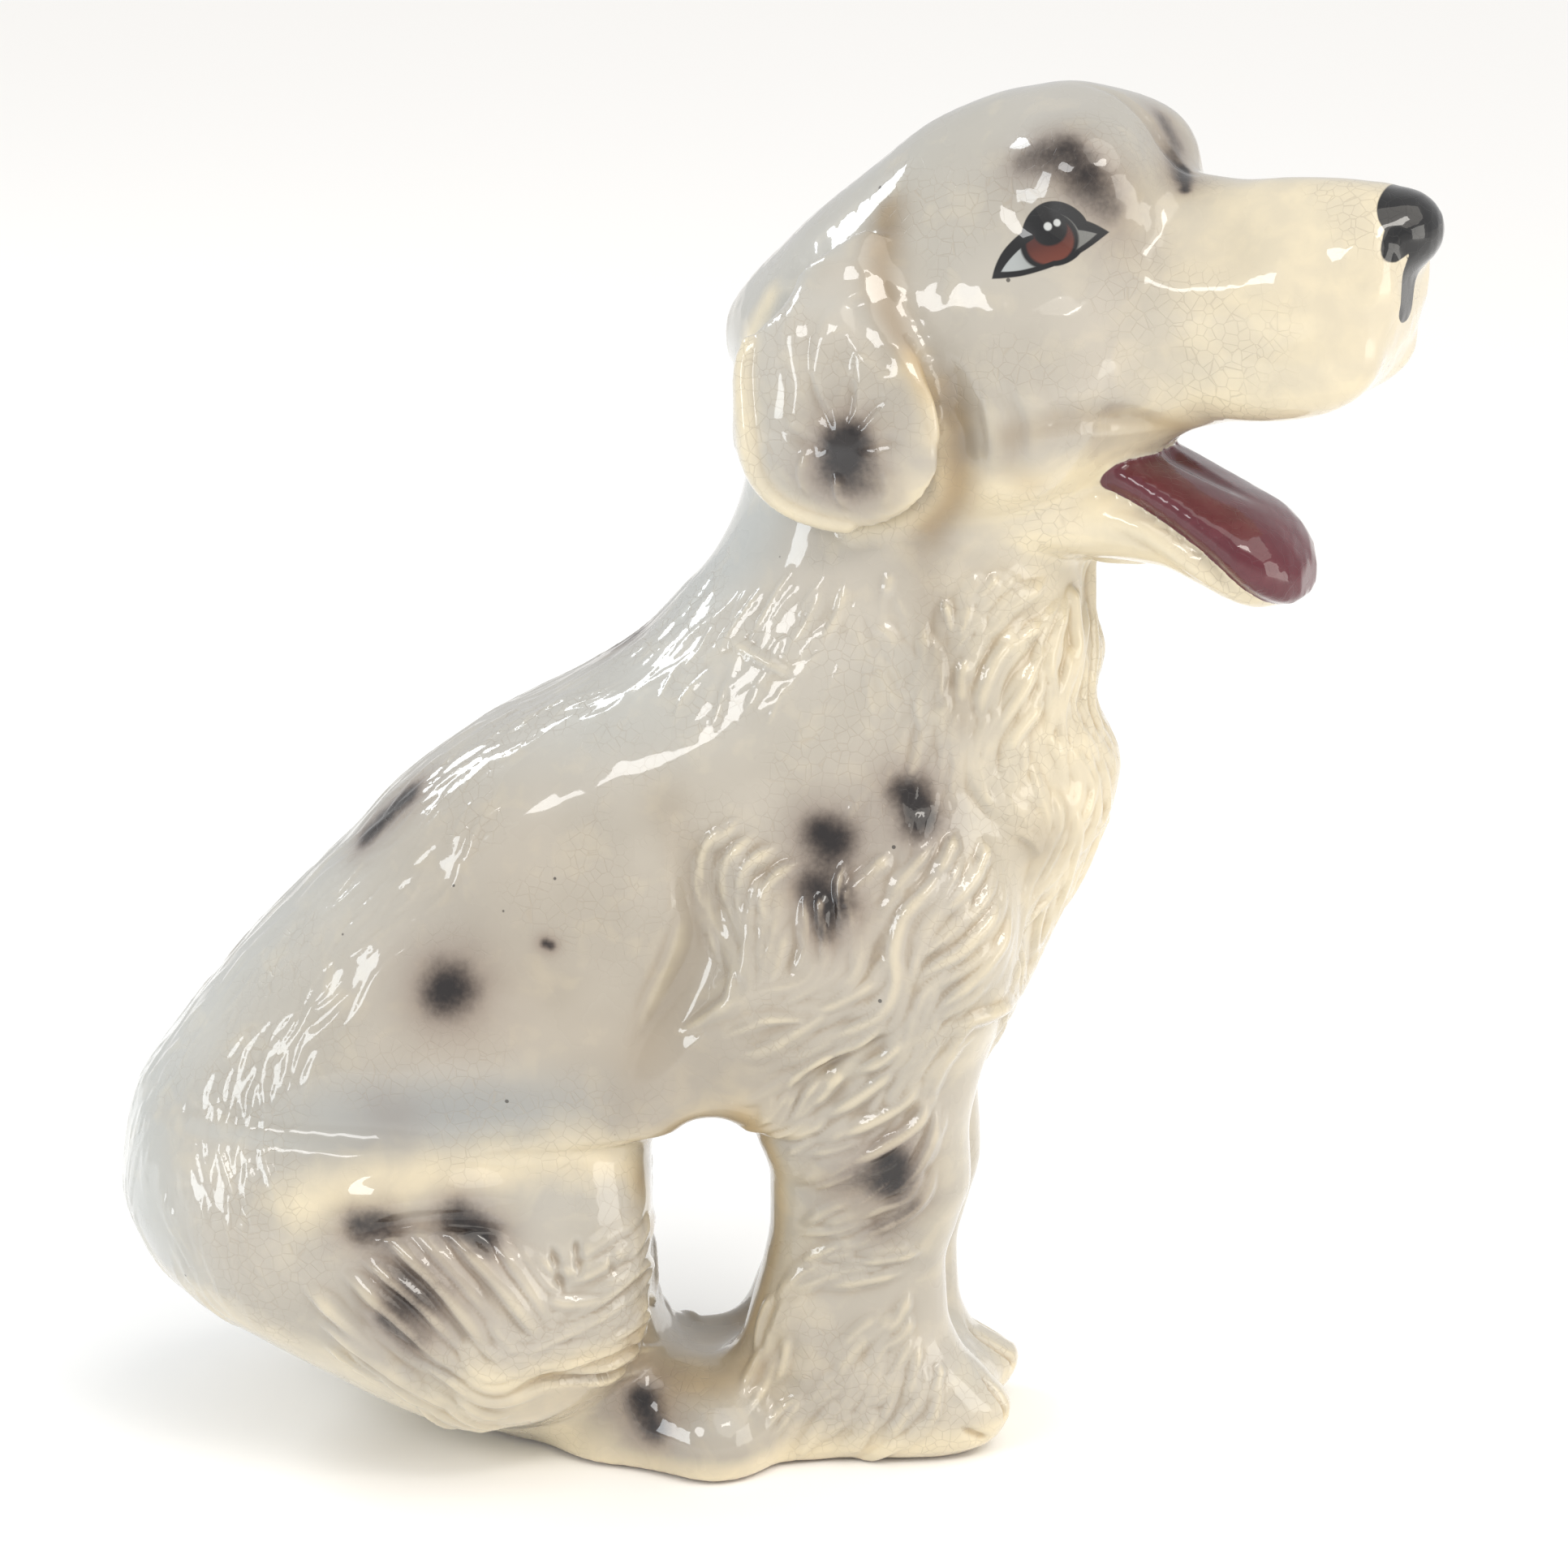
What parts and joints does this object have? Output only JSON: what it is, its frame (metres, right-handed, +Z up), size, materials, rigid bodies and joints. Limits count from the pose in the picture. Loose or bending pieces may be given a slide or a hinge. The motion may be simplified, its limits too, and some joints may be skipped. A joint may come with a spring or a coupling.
{
  "type": "ceramic dog figurine",
  "caption": "Glazed earthenware figurine of a seated long-haired setter, its head turned to one side and its mouth open, with a gap between belly and front legs.",
  "frame": {"origin": "on the table, under the low slab between the hind feet and the front paws, on the body's middle plane", "axes": "+X the way the chest faces, +Z up, the dog's right side towards -Y"},
  "size_m": [0.2566, 0.1087, 0.276],
  "materials": {
    "cream_glaze": "gloss",
    "tongue_glaze": "gloss",
    "black_glaze": "gloss",
    "eye_enamel": "gloss"
  },
  "bodies": {
    "root": {"torso": "cream_glaze", "neck": "cream_glaze", "head": "cream_glaze", "lower_jaw": "cream_glaze", "tongue": "tongue_glaze", "nose": "black_glaze", "eye_right": "eye_enamel", "eye_left": "eye_enamel", "ear_right": "cream_glaze", "ear_left": "cream_glaze", "foreleg_right": "cream_glaze", "foreleg_left": "cream_glaze", "haunch_right": "cream_glaze", "haunch_left": "cream_glaze", "hind_foot_right": "cream_glaze", "hind_foot_left": "cream_glaze", "base_web": "cream_glaze", "tail": "cream_glaze"}
  },
  "joints": []
}
